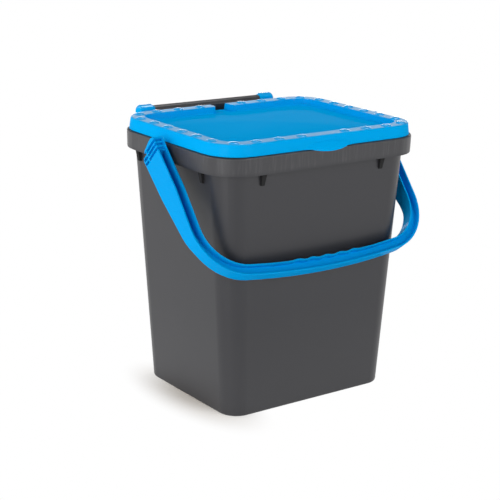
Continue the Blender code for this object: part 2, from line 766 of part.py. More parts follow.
def make_lid(collection, material):
    """The lid: skirt, padded rim, gutter and crowned panel, with its pull tab, rear notch and two hooks."""
    lid = mesh_object("lid", loft(lid_rings()), collection, material)
    boolean(lid, helper("pads", pads()), "UNION")
    boolean(lid, helper("notch_block", notch_block()), "UNION")
    boolean(lid, helper("notch", notch()), "DIFFERENCE")
    tab = tab_swelling()
    boolean(tab, tab_hollow(), "DIFFERENCE")
    boolean(tab, helper("tab_edge", tab_edge()), "DIFFERENCE")
    boolean(tab, helper("tab_clearance", tab_clearance()), "DIFFERENCE")
    boolean(lid, tab, "UNION")
    for solid in hooks():
        boolean(lid, solid, "UNION")
    for solid in hook_bores():
        boolean(lid, solid, "DIFFERENCE")
    return lid


def bail_path():
    """Stations along the bail's outer edge, as (point, outward direction) in (across, down), from left to right."""
    grip_radius = (BAIL_HALF_WIDTH**2 + BAIL_BOW**2) / (2 * BAIL_BOW)
    grip_centre = BAIL_REACH - grip_radius
    corner_x = BAIL_HALF_WIDTH - BAIL_CORNER
    corner_down = grip_centre + math.sqrt((grip_radius - BAIL_CORNER) ** 2 - corner_x**2)
    corner_turn = math.atan2(corner_down - grip_centre, corner_x)
    half = [(BAIL_HALF_WIDTH, down, 0.0) for down in (-ARM_END - OVERRUN / 2, ARM_LENGTH, ELBOW_LENGTH)]
    corner_steps = 12
    for step in range(corner_steps + 1):
        turn = corner_turn * step / corner_steps
        x = corner_x + BAIL_CORNER * math.cos(turn)
        half.append((x, corner_down + BAIL_CORNER * math.sin(turn), turn))
    wave_end = SCALLOPS / 2 * SCALLOP_PITCH
    crossing = [mix(half[-1][0], wave_end, share) for share in (0.33, 0.67)]
    steps = SCALLOPS * 4
    crossing += [wave_end * (1 - step / steps) for step in range(steps + 1)]
    for x in crossing:
        turn = math.acos(x / grip_radius)
        half.append((x, grip_centre + grip_radius * math.sin(turn), turn))
    stations = [(-x, down, math.pi - turn) for x, down, turn in half[:-1]]
    return stations + half[::-1]


def bail_section(x, down, turn):
    """The section of the bail at one station: two flanges joined by a web, in (x, depth, down)."""
    if down < ELBOW_LENGTH:
        share = max((down - ARM_LENGTH) / (ELBOW_LENGTH - ARM_LENGTH), 0)
        front = mix(ARM_FRONT, ELBOW_FRONT, share)
        back = mix(ARM_BACK, ELBOW_BACK, share)
    else:
        share = min((down - ELBOW_LENGTH) / (TAPER_LENGTH - ELBOW_LENGTH), 1)
        front = mix(ELBOW_FRONT, GRIP_FRONT, share)
        back = mix(ELBOW_BACK, GRIP_BACK, share)
    web = mix(back, front, mix(ARM_WEB_SHARE, GRIP_WEB_SHARE, min(max(down / TAPER_LENGTH, 0), 1)))
    wave = 0
    if abs(x) < SCALLOPS / 2 * SCALLOP_PITCH:
        wave = SCALLOP_DEPTH * (1 + math.cos(math.tau * x / SCALLOP_PITCH)) / 2
    inner = CHANNEL_WIDTH + wave
    channel = [
        (0, front),
        (FLANGE, front),
        (FLANGE, web + WEB / 2),
        (inner - FLANGE, web + WEB / 2),
        (inner - FLANGE, front),
        (inner, front),
        (inner, back),
        (inner - FLANGE, back),
        (inner - FLANGE, web - WEB / 2),
        (FLANGE, web - WEB / 2),
        (FLANGE, back),
        (0, back),
    ]
    outward = Vector((math.cos(turn), 0, math.sin(turn)))
    edge = Vector((x, 0, down))
    return [edge - outward * inset + Vector((0, depth, 0)) for inset, depth in channel]


def arm_block():
    """The solid core of each arm's end, between its flanges. Its foot slants as the slots do."""
    solid = bmesh.new()
    front = ARM_FRONT - ARM_BLOCK_INSET
    back = ARM_BACK + ARM_BLOCK_INSET
    top = -ARM_END - OVERRUN / 4
    foot = ARM_BLOCK + (front - back) * ARM_SLOT_SLANT
    outline = [(front, top), (front, ARM_BLOCK), (back, foot), (back, top)]
    for side in (-1, 1):
        start = side * (BAIL_HALF_WIDTH - CHANNEL_WIDTH + FLANGE / 2)
        end = side * (BAIL_HALF_WIDTH - FLANGE / 2)
        add_prism(solid, outline, start, end, along_x)
    return solid


def arm_trim():
    """What is cut off each arm beyond the outline of its end."""
    solid = bmesh.new()
    first = ARM_END_SHARES[0][0]
    outline = [(ARM_FRONT + OVERRUN, -ARM_END * first)]
    for length_share, depth_share in ARM_END_SHARES:
        reach = ARM_FRONT if depth_share > 0 else -ARM_BACK
        outline.append((reach * depth_share, -ARM_END * length_share))
    outline.append((ARM_BACK - OVERRUN, ARM_END))
    outline.append((ARM_BACK - OVERRUN, -ARM_END - OVERRUN))
    outline.append((ARM_FRONT + OVERRUN, -ARM_END - OVERRUN))
    for side in (-1, 1):
        start = side * (BAIL_HALF_WIDTH - CHANNEL_WIDTH - OVERRUN / 4)
        end = side * (BAIL_HALF_WIDTH + OVERRUN)
        add_prism(solid, outline, start, end, along_x)
    return solid


def slot_outline(middle, front, back):
    """A slanting slot in the arm's outer face, in (depth, down). Its middle is given at the arm's front edge."""
    half = ARM_SLOT_WIDTH / 2
    lean_front = middle + (ARM_FRONT - front) * ARM_SLOT_SLANT
    lean_back = middle + (ARM_FRONT - back) * ARM_SLOT_SLANT
    return [(front, lean_front - half), (front, lean_front + half), (back, lean_back + half), (back, lean_back - half)]


def arm_slots():
    """Chevron slots in the outer and front faces of each arm's end. A rib along the arm parts those of the face."""
    outer_front = bmesh.new()
    outer_back = bmesh.new()
    front = bmesh.new()
    rib_front = mix(ARM_BACK, ARM_FRONT, 1 / 3) + ARM_SLOT_RIB / 2
    rib_back = rib_front - ARM_SLOT_RIB
    for side in (-1, 1):
        deep = side * (BAIL_HALF_WIDTH - ARM_SLOT_DEPTH)
        over = side * (BAIL_HALF_WIDTH + OVERRUN)
        inner = side * (BAIL_HALF_WIDTH - CHANNEL_WIDTH + FLANGE)
        for index in range(ARM_SLOTS):
            middle = ARM_BLOCK - ARM_SLOT_PITCH * (index + 0.5)
            add_prism(outer_front, slot_outline(middle, ARM_FRONT + OVERRUN, rib_front), deep, over, along_x)
            add_prism(outer_back, slot_outline(middle, rib_back, ARM_BACK + FLANGE), deep, over, along_x)
            low, high = middle - ARM_SLOT_WIDTH / 2, middle + ARM_SLOT_WIDTH / 2
            across = sorted((deep + side * FLANGE / 4, inner))
            add_box(front, (across[0], ARM_FRONT - ARM_SLOT_DEPTH, low), (across[1], ARM_FRONT + OVERRUN, high))
    return (
        helper("arm_slots_outer_front", outer_front),
        helper("arm_slots_outer_back", outer_back),
        helper("arm_slots_front", front),
    )


def studs():
    """The studs on which the bail turns: a collar outside the band, a shank in its hole and a head behind it."""
    collars = bmesh.new()
    shanks = bmesh.new()
    heads = bmesh.new()
    share = (BAIL_PIVOT_Z - BAND_BOTTOM_Z) / BAND_HEIGHT
    face = TOP_WIDTH / 2 + mix(BAND_BOTTOM_OUTSET, BAND_TOP_OUTSET, share)
    arm = BAIL_HALF_WIDTH - CHANNEL_WIDTH + FLANGE / 2
    gap = STUD_FACE_GAP
    behind = face - BAND_WALL - STUD_FACE_GAP
    for side in (-1, 1):
        add_cylinder(collars, STUD_COLLAR_RADIUS, (side * (face + gap), 0, 0), (side * arm, 0, 0))
        add_cylinder(shanks, STUD_RADIUS, (side * (behind - STUD_HEAD / 2), 0, 0), (side * (face + gap * 2), 0, 0))
        add_cylinder(heads, STUD_HEAD_RADIUS, (side * (behind - STUD_HEAD), 0, 0), (side * behind, 0, 0))
    return helper("stud_collars", collars), helper("stud_shanks", shanks), helper("stud_heads", heads)


def make_bail(collection, material):
    """The carrying bail, modelled hanging from its pivot axis and then turned to where it rests on the front wall."""
    sections = [bail_section(*station) for station in bail_path()]
    bail = mesh_object("carrying_bail", loft(sections), collection, material)
    tools = [(helper("arm_block", arm_block()), "UNION"), (helper("arm_trim", arm_trim()), "DIFFERENCE")]
    tools += [(slots, "DIFFERENCE") for slots in arm_slots()]
    tools += [(stud, "UNION") for stud in studs()]
    turn = Matrix.Translation((0, BAIL_PIVOT_Y, BAIL_PIVOT_Z))
    turn = turn @ Matrix.Rotation(math.radians(90 + BAIL_DROP_DEG), 4, "X")
    bail.matrix_world = turn
    for tool, operation in tools:
        tool.matrix_world = turn
        boolean(bail, tool, operation)
    return bail


def main():
    for old in list(bpy.data.objects):
        bpy.data.objects.remove(old, do_unlink=True)
    caddy = new_collection("kitchen_caddy")
    new_collection("tools").hide_render = True
    grey = plastic("grey_plastic", (0.10, 0.10, 0.11), 0.45)
    blue = plastic("blue_plastic", (0.0, 0.30, 0.80), 0.35)
    make_bucket(caddy, grey)
    lid = make_lid(caddy, blue)
    put_origin_on(lid, (0, HINGE_Y, HINGE_Z))
    make_bail(caddy, blue)


main()
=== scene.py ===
# %% [markdown]
# # A waste caddy with a hooked lid and a carrying bail
#
# This lesson dresses a plain CAD model of a kitchen or garden waste caddy, so that it looks like moulded
# plastic. The real object has three mouldings: a grey bucket, a blue lid and a blue carrying bail. Each of
# them leaves its mould in one colour, and the real thing carries no paint; only the bucket's grey has some
# shade and light painted into it here. What the eye reads as "plastic" is the radius on every edge, the
# fine eroded texture of the mould, and the way a pale room mirrors in the glossier faces.
#
# The imported solids are loaded first. They fix where everything is, and dressing an object must not change
# its size.

import math

import bmesh
import bpy
from mathutils import Matrix, Vector
from mathutils.bvhtree import BVHTree


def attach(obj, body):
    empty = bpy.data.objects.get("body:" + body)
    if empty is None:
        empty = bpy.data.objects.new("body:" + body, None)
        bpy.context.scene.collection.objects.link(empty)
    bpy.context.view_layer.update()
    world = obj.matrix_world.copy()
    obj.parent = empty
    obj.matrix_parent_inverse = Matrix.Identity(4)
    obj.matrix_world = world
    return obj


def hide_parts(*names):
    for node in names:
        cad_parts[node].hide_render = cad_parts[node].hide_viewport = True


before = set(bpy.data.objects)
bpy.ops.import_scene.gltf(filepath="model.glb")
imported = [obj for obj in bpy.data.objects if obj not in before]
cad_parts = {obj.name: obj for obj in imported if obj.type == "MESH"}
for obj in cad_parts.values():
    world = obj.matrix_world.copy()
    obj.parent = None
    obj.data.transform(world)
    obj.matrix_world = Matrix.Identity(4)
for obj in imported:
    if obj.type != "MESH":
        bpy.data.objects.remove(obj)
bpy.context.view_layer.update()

# %% [markdown]
# ## The camera
#
# The camera stands where the photograph was taken from: in front of the caddy, to its left, and looking
# down by about sixteen degrees. It is easiest to place with three directions of its own: backwards, right
# and up. Backwards comes from the yaw and the downward angle, right lies level before the small roll, and
# up is square to both. A slight lens shift puts the picture's centre where it was.

# %% Place the camera
CAMERA_YAW = math.radians(-36.42)
CAMERA_RISE = math.radians(16.21)
CAMERA_ROLL = math.radians(1.51)
CAMERA_DISTANCE = 2.2051
CAMERA_AIM = Vector((0, 0, 0.210))
CAMERA_RIGHT = -0.03552
CAMERA_UP = -0.00174
SENSOR = 36.0
LENS = 100.80
LENS_SHIFT = (0.01366, 0.00182)


def camera_directions(yaw, rise, roll):
    """The camera's right, up and backward directions."""
    back = Vector((math.sin(yaw) * math.cos(rise), -math.cos(yaw) * math.cos(rise), math.sin(rise)))
    level = Vector((math.cos(yaw), math.sin(yaw), 0))
    upward = back.cross(level)
    right = level * math.cos(roll) + upward * math.sin(roll)
    up = upward * math.cos(roll) - level * math.sin(roll)
    return right, up, back


def place_camera():
    """Makes the camera and gives it the photograph's view."""
    right, up, back = camera_directions(CAMERA_YAW, CAMERA_RISE, CAMERA_ROLL)
    data = bpy.data.cameras.new("view")
    data.sensor_width = SENSOR
    data.lens = LENS
    data.shift_x, data.shift_y = LENS_SHIFT
    camera = bpy.data.objects.new("view", data)
    bpy.context.scene.collection.objects.link(camera)
    place = CAMERA_AIM + back * CAMERA_DISTANCE + right * CAMERA_RIGHT + up * CAMERA_UP
    turn = Matrix((right, up, back)).transposed().to_4x4()
    camera.matrix_world = Matrix.Translation(place) @ turn
    bpy.context.scene.camera = camera
    return camera


camera = place_camera()
print("camera at", tuple(round(value, 3) for value in camera.matrix_world.translation))

# %% [markdown]
# ## A fine copy of each moulding
#
# A CAD solid arrives as loose triangles with knife-sharp edges. A real moulding has no such edge: plastic
# can't fill a perfectly sharp corner of a mould, and a draughtsman asks for a radius anyway. That radius
# catches a thin line of light, and without it a render looks like cardboard.
#
# The solid stays as it is. In a copy the doubled points are merged and the triangles of each flat face are
# joined, so that what is left are the edges that a maker would point at. Corners that were modelled as a
# run of small turns are only shaded smooth.

# %% Merge and join a copy
MERGE = 0.00002
FLAT = math.radians(0.4)
SMOOTH_BELOW = math.radians(32)


def merged(node):
    """A copy of a CAD node's mesh with its points merged and its flat faces joined."""
    work = bmesh.new()
    work.from_mesh(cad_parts[node].data)
    bmesh.ops.remove_doubles(work, verts=work.verts, dist=MERGE)
    bmesh.ops.dissolve_limit(work, angle_limit=FLAT, verts=work.verts, edges=work.edges, delimit={"NORMAL"})
    return work


def new_piece(name, work):
    """Turns mesh data that was made in place into an object at the origin."""
    mesh = bpy.data.meshes.new(name)
    work.to_mesh(mesh)
    work.free()
    mesh.shade_smooth()
    mesh.set_sharp_from_angle(angle=SMOOTH_BELOW)
    piece = bpy.data.objects.new(name, mesh)
    bpy.context.scene.collection.objects.link(piece)
    return piece


# %% [markdown]
# A Bevel modifier rounds the sharp edges. It could take them by their angle alone, but a radius needs room
# at both ends of its edge: where a neighbour is short, or leaves at a narrow angle, the bevel would fold
# over itself. So each edge gets a bevel weight here, and one without room gets none and stays as it is.
#
# On a curved flange the edge is a chain of long straight pieces, each of which runs straight on into the
# next. There the next piece takes no room away, so the whole chain is rounded as one.

# %% Find the edges that have room for a radius
ROUND_ABOVE = math.radians(38)
ROOM_SHARE = 0.4
STRAIGHT_ON = -0.9
CHAIN_LEAST = 0.004


def is_sharp(edge):
    """Whether the two faces of an edge meet at more than a slight bend."""
    return len(edge.link_faces) == 2 and edge.calc_face_angle(0) > ROUND_ABOVE


def has_room(edge, vert, radius, chained):
    """Whether the radius fits on the edge's neighbours at one of its ends."""
    along = (edge.other_vert(vert).co - vert.co).normalized()
    for other in vert.link_edges:
        if other == edge or not set(other.link_faces) & set(edge.link_faces):
            continue
        away = other.other_vert(vert).co - vert.co
        straight_on = away.length > CHAIN_LEAST and along.dot(away.normalized()) < STRAIGHT_ON
        if chained and straight_on and is_sharp(other):
            continue
        if radius > ROOM_SHARE * away.length * along.cross(away.normalized()).length:
            return False
    return True


def weigh_edges(work, radius, chained=False):
    """Gives a weight to each sharp edge that has room for the radius at both of its ends."""
    weight = work.edges.layers.float.new("bevel_weight_edge")
    for edge in work.edges:
        if is_sharp(edge) and all(has_room(edge, vert, radius, chained) for vert in edge.verts):
            edge[weight] = 1.0
    return work


# %% [markdown]
# The bevel itself needs only two segments, because the shading between them is smooth. A Weighted Normal
# modifier after it lets the large faces decide how light falls at a shared edge, so that they look level.

# %% Round the weighted edges
ROUND_SEGMENTS = 2
LARGE_FACES_FIRST = 80


def round_edges(piece, radius):
    """Rounds a moulding's weighted edges."""
    bevel = piece.modifiers.new("edge_radius", "BEVEL")
    bevel.limit_method = "WEIGHT"
    bevel.width = radius
    bevel.segments = ROUND_SEGMENTS
    bevel.use_clamp_overlap = False
    normals = piece.modifiers.new("level_faces", "WEIGHTED_NORMAL")
    normals.keep_sharp = True
    normals.weight = LARGE_FACES_FIRST


# %% [markdown]
# ## The bucket
#
# One grey moulding: tapered walls, a band that folds down outside the rim, gussets under the band, and the
# hinge rail behind it. Its edges are worn a little softer than the lid's, so it gets the larger radius.
#
# The gussets get painted shade of their own: their colour is drawn darker, for the shade that the band
# casts on them. They sit in eight places round the bucket, so a pattern could hardly find them. A face
# attribute can: only their faces have a lowest point at the height of their feet. It is noted on the plain
# mesh, and the modifiers pass it on.

# %% The bucket's piece
BUCKET_RADIUS = 0.0006
GUSSET_MARK = "gusset"
GUSSET_FEET_FROM_Z = 0.354
GUSSET_FEET_TO_Z = 0.356


def mark_gussets(piece):
    """Notes on each face whether it belongs to the gussets, whose feet lie between two heights."""
    marks = piece.data.attributes.new(GUSSET_MARK, "FLOAT", "FACE")
    points = piece.data.vertices
    for face in piece.data.polygons:
        lowest = min(points[index].co.z for index in face.vertices)
        marks.data[face.index].value = float(GUSSET_FEET_FROM_Z < lowest < GUSSET_FEET_TO_Z)


bucket_shell = new_piece("bucket_shell", weigh_edges(merged("bucket"), BUCKET_RADIUS))
mark_gussets(bucket_shell)
round_edges(bucket_shell, BUCKET_RADIUS)
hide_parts("bucket")
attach(bucket_shell, "bucket")
print("bucket faces:", len(bucket_shell.data.polygons))

# %% [markdown]
# The halves of the mould meet at the corners of the band and leave a fine upright ridge there, of which a
# third of a millimetre shows. A bump would only shade it, so it is a real shape, a thin bar with three
# sides. Its place is found on the solid itself: a ray is shot at the corner from outside at several
# heights, and the ridge follows the points that the rays hit.

# %% The parting ridges on the band's corners
RIDGE_HALF = 0.00035
RIDGE_PROUD = 0.00015
RIDGE_SUNK = 0.0002
RIDGE_FROM_Z = 0.3785
RIDGE_TO_Z = 0.3985
RIDGE_STEPS = 6
RIDGE_SIDES = ((0, 1), (1, 2), (2, 0))
CORNER_X = 0.1475
CORNER_Y = 0.0975
RIDGE_WAY = math.radians(51)
RAY_START = 0.2

bucket_surface = BVHTree.FromBMesh(merged("bucket"))


def band_point(side_x, side_y, height):
    """The point of the band's corner at a height, and the way out of it."""
    way = Vector((side_x * math.cos(RIDGE_WAY), side_y * math.sin(RIDGE_WAY), 0))
    middle = Vector((side_x * CORNER_X, side_y * CORNER_Y, height))
    place, _, _, _ = bucket_surface.ray_cast(middle + way * RAY_START, -way)
    return place, way


def add_ridge(work, side_x, side_y):
    """Adds one ridge with a triangular section along a corner of the band."""
    rows = []
    for step in range(RIDGE_STEPS + 1):
        height = RIDGE_FROM_Z + (RIDGE_TO_Z - RIDGE_FROM_Z) * step / RIDGE_STEPS
        place, way = band_point(side_x, side_y, height)
        across = way.cross(Vector((0, 0, 1))) * RIDGE_HALF
        first = place - way * RIDGE_SUNK - across
        crest = place + way * RIDGE_PROUD
        last = place - way * RIDGE_SUNK + across
        rows.append([work.verts.new(corner) for corner in (first, crest, last)])
    for low, high in zip(rows, rows[1:]):
        for near, far in RIDGE_SIDES:
            work.faces.new((low[near], low[far], high[far], high[near]))
    work.faces.new(reversed(rows[0]))
    work.faces.new(rows[-1])


ridges = bmesh.new()
for side_x in (-1, 1):
    for side_y in (-1, 1):
        add_ridge(ridges, side_x, side_y)
bmesh.ops.recalc_face_normals(ridges, faces=ridges.faces)
parting_ridges = new_piece("parting_ridges", ridges)
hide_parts("bucket")
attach(parting_ridges, "bucket")
print("ridge faces:", len(parting_ridges.data.polygons))

# %% [markdown]
# ## The lid
#
# The lid's rim carries a row of low domed buttons. In the solid they have sixteen sides, which is enough
# for its purpose and too few for a picture. So the copy loses them: every face that stands above the rim is
# removed, the holes are closed with one flat face each, and finer buttons are made further on.

# %% The lid's shell, without its buttons
LID_RADIUS = 0.0005
RIM_TOP_Z = 0.420
RIM_MIDDLE_X = 0.17370
RIM_MIDDLE_Y = 0.13045
RIM_WIDTH = 0.0209
LEVEL = 0.00004


def on_rim(point):
    """Whether a point lies on or above the lid's rim, and not on the hooks behind it."""
    inside = abs(point.x) < RIM_MIDDLE_X + RIM_WIDTH / 2 and abs(point.y) < RIM_MIDDLE_Y + RIM_WIDTH / 2
    return inside and point.z > RIM_TOP_Z - LEVEL


def without_buttons(work):
    """Removes the buttons that stand on the rim and closes the rim again."""
    raised = [face for face in work.faces if all(on_rim(vert.co) for vert in face.verts)]
    raised = [face for face in raised if any(vert.co.z > RIM_TOP_Z + LEVEL for vert in face.verts)]
    bmesh.ops.delete(work, geom=raised, context="FACES")
    open_edges = [edge for edge in work.edges if edge.is_boundary]
    bmesh.ops.holes_fill(work, edges=open_edges, sides=0)
    bmesh.ops.dissolve_limit(work, angle_limit=FLAT, verts=work.verts, edges=work.edges, delimit={"NORMAL"})
    still_open = sum(edge.is_boundary for edge in work.edges)
    print("faces of the old buttons:", len(raised), "open edges left:", still_open)
    return work


lid_shell = new_piece("lid_shell", weigh_edges(without_buttons(merged("lid")), LID_RADIUS))
round_edges(lid_shell, LID_RADIUS)
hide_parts("lid")
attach(lid_shell, "lid")

# %% [markdown]
# ## The rim's buttons
#
# Twenty-eight equal buttons stand along the middle of the rim. Their places follow a simple rule: equal
# steps along the straight sides, and one button in each corner, half way between its neighbours. The long
# sides have none in the middle, which leaves the notch free, and the short sides start half a step from it.

# %% Places of the buttons
STEP_X = 0.0406
STEP_Y = 0.0374
FIRST_STEP_X = 1
FIRST_STEP_Y = 0.5
BUTTONS_X = 3
BUTTONS_Y = 3
RIM_MIDDLE_CORNER = 0.03745


def button_places():
    """Where the buttons stand, in plan."""
    steps_x = [STEP_X * (index + FIRST_STEP_X) for index in range(BUTTONS_X)]
    steps_y = [STEP_Y * (index + FIRST_STEP_Y) for index in range(BUTTONS_Y)]
    straight_x = RIM_MIDDLE_X - RIM_MIDDLE_CORNER - steps_x[-1]
    straight_y = RIM_MIDDLE_Y - RIM_MIDDLE_CORNER - steps_y[-1]
    arc = RIM_MIDDLE_CORNER * math.pi / 2
    angle = ((straight_x + arc + straight_y) / 2 - straight_x) / RIM_MIDDLE_CORNER
    corner_x = RIM_MIDDLE_X - RIM_MIDDLE_CORNER * (1 - math.sin(angle))
    corner_y = RIM_MIDDLE_Y - RIM_MIDDLE_CORNER * (1 - math.cos(angle))
    quarter = [(x, RIM_MIDDLE_Y) for x in steps_x]
    quarter.append((corner_x, corner_y))
    quarter += [(RIM_MIDDLE_X, y) for y in steps_y]
    return [(side_x * x, side_y * y) for side_x in (-1, 1) for side_y in (-1, 1) for x, y in quarter]


print("buttons:", len(button_places()))

# %% [markdown]
# Whatever repeats along a path is work for Geometry Nodes: one dome is made once, and a copy of it is put
# on each point. The dome could be a low cap of a large sphere. Here it is a small sphere that is scaled
# flat and centred on the rim's face, because that gives the steeper shoulders of the real buttons. Its
# lower half is hidden in the thickness of the rim.

# %% The tree that puts a dome on each place
BUTTON_RADIUS = 0.0080
BUTTON_HEIGHT = 0.0021
DOME_SIDES = 40
DOME_RINGS = 20


def dome_tree():
    """Geometry Nodes: a flattened sphere on every point of the mesh."""
    tree = bpy.data.node_groups.new("domed_buttons", "GeometryNodeTree")
    face = tree.interface
    face.new_socket("Geometry", in_out="INPUT", socket_type="NodeSocketGeometry")
    for name, value in (("Radius", BUTTON_RADIUS), ("Height", BUTTON_HEIGHT)):
        face.new_socket(name, in_out="INPUT", socket_type="NodeSocketFloat").default_value = value
    face.new_socket("Material", in_out="INPUT", socket_type="NodeSocketMaterial")
    face.new_socket("Geometry", in_out="OUTPUT", socket_type="NodeSocketGeometry")
    nodes, links = tree.nodes, tree.links
    given = nodes.new("NodeGroupInput")
    dome = nodes.new("GeometryNodeMeshUVSphere")
    dome.inputs["Segments"].default_value = DOME_SIDES
    dome.inputs["Rings"].default_value = DOME_RINGS
    dome.inputs["Radius"].default_value = 1.0
    size = nodes.new("ShaderNodeCombineXYZ")
    shaped = nodes.new("GeometryNodeTransform")
    put = nodes.new("GeometryNodeInstanceOnPoints")
    real = nodes.new("GeometryNodeRealizeInstances")
    smooth = nodes.new("GeometryNodeSetShadeSmooth")
    coat = nodes.new("GeometryNodeSetMaterial")
    made = nodes.new("NodeGroupOutput")
    links.new(given.outputs["Radius"], size.inputs["X"])
    links.new(given.outputs["Radius"], size.inputs["Y"])
    links.new(given.outputs["Height"], size.inputs["Z"])
    links.new(size.outputs["Vector"], shaped.inputs["Scale"])
    links.new(dome.outputs["Mesh"], shaped.inputs["Geometry"])
    links.new(given.outputs["Geometry"], put.inputs["Points"])
    links.new(shaped.outputs["Geometry"], put.inputs["Instance"])
    links.new(put.outputs["Instances"], real.inputs["Geometry"])
    links.new(real.outputs["Geometry"], smooth.inputs["Geometry"])
    links.new(smooth.outputs["Geometry"], coat.inputs["Geometry"])
    links.new(given.outputs["Material"], coat.inputs["Material"])
    links.new(coat.outputs["Geometry"], made.inputs["Geometry"])
    return tree


# %% [markdown]
# ## The carrying bail
#
# The bail is one blue bow with an H-shaped section: two flanges joined by a web, open to the front and to
# the back so that it is light and stiff and leaves its mould cleanly. Its edges are as crisp as the lid's,
# and they follow long curves, so they are rounded as chains.

# %% The bail's piece
BAIL_RADIUS = 0.0005

bail_bow = new_piece("bail_bow", weigh_edges(merged("carrying_bail"), BAIL_RADIUS, chained=True))
round_edges(bail_bow, BAIL_RADIUS)
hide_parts("carrying_bail")
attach(bail_bow, "carrying_bail")
print("bail faces:", len(bail_bow.data.polygons))

# %% [markdown]
# ## The plastics
#
# The three plastics share one effect: each mould was eroded by sparks, which leaves a fine, even grain. It
# is made once, as a shader node group with named inputs, and used in each material with its own values. The
# group gives a height for the Bump node and a small change of roughness, and the shader itself stays in the
# material.

# %% The grain of an eroded mould
GRAIN_SIZE = 0.0009
GRAIN_DETAIL = 2.0
CLOUD_SIZE = 0.060
CLOUD_DETAIL = 3.0
PLAIN_ROUGHNESS = 0.5
ROUGHNESS_CHANGE = 0.05
NOISE_MIDDLE = 0.5


def grain_group():
    """Shader nodes: the fine grain of an eroded mould, with broad and faint changes in its gloss."""
    group = bpy.data.node_groups.new("mould_grain", "ShaderNodeTree")
    face = group.interface
    sockets = (
        ("Grain Size", GRAIN_SIZE),
        ("Roughness", PLAIN_ROUGHNESS),
        ("Roughness Change", ROUGHNESS_CHANGE),
    )
    for name, value in sockets:
        face.new_socket(name, in_out="INPUT", socket_type="NodeSocketFloat").default_value = value
    face.new_socket("Height", in_out="OUTPUT", socket_type="NodeSocketFloat")
    face.new_socket("Roughness", in_out="OUTPUT", socket_type="NodeSocketFloat")
    nodes, links = group.nodes, group.links
    given = nodes.new("NodeGroupInput")
    made = nodes.new("NodeGroupOutput")
    where = nodes.new("ShaderNodeTexCoord")
    per_metre = nodes.new("ShaderNodeMath")
    per_metre.operation = "DIVIDE"
    per_metre.inputs[0].default_value = 1.0
    links.new(given.outputs["Grain Size"], per_metre.inputs[1])
    grain = nodes.new("ShaderNodeTexNoise")
    grain.inputs["Detail"].default_value = GRAIN_DETAIL
    links.new(where.outputs["Object"], grain.inputs["Vector"])
    links.new(per_metre.outputs["Value"], grain.inputs["Scale"])
    cloud = nodes.new("ShaderNodeTexNoise")
    cloud.inputs["Scale"].default_value = 1 / CLOUD_SIZE
    cloud.inputs["Detail"].default_value = CLOUD_DETAIL
    links.new(where.outputs["Object"], cloud.inputs["Vector"])
    centred = nodes.new("ShaderNodeMath")
    centred.operation = "SUBTRACT"
    centred.inputs[1].default_value = NOISE_MIDDLE
    links.new(cloud.outputs["Fac"], centred.inputs[0])
    change = nodes.new("ShaderNodeMath")
    change.operation = "MULTIPLY_ADD"
    links.new(centred.outputs["Value"], change.inputs[0])
    links.new(given.outputs["Roughness Change"], change.inputs[1])
    links.new(given.outputs["Roughness"], change.inputs[2])
    links.new(grain.outputs["Fac"], made.inputs["Height"])
    links.new(change.outputs["Value"], made.inputs["Roughness"])
    return group


mould_grain = grain_group()
print("grain:", mould_grain.name)

# %% [markdown]
# Each plastic is a Principled shader with a colour, a roughness and a depth of grain. How strongly it
# mirrors by itself is a value of its own, because the lid is seen almost along its faces. There even a matt
# plastic mirrors strongly, and the deep blue would turn pale. So the blue plastics get no mirror of their
# own, and what gloss they have is a coat, which can be put where it belongs.

# %% A moulded plastic
def plastic(name, colour, roughness, mirror, bump):
    """A moulded plastic: its colour, its roughness, how strongly it mirrors, and the depth of its grain."""
    material = bpy.data.materials.new(name)
    material.use_nodes = True
    nodes, links = material.node_tree.nodes, material.node_tree.links
    shader = nodes["Principled BSDF"]
    shader.inputs["Base Color"].default_value = (*colour, 1.0)
    shader.inputs["Specular IOR Level"].default_value = mirror
    grain = nodes.new("ShaderNodeGroup")
    grain.node_tree = mould_grain
    grain.inputs["Roughness"].default_value = roughness
    links.new(grain.outputs["Roughness"], shader.inputs["Roughness"])
    relief = nodes.new("ShaderNodeBump")
    relief.inputs["Strength"].default_value = 1.0
    relief.inputs["Distance"].default_value = bump
    links.new(grain.outputs["Height"], relief.inputs["Height"])
    links.new(relief.outputs["Normal"], shader.inputs["Normal"])
    return material


# %% [markdown]
# The bucket has been used and stacked. Other buckets have dragged along its band, which leaves pale upright
# marks. Near the floor the wall is painted paler, as painted light on the wall's foot. Both are masks in
# Object coordinates, that is in metres on the object: a noise that is stretched along Z for the marks, and
# a ramp in Z for the painted light. They only mix a slightly paler grey into the colour. The marks are a
# node group too, so that their sizes have names.

# %% The marks that stacking leaves
MARK_WIDTH = 0.0030
MARK_LENGTH = 0.045
MARK_DETAIL = 3.0
MARK_FROM = 0.50
MARK_TO = 0.72


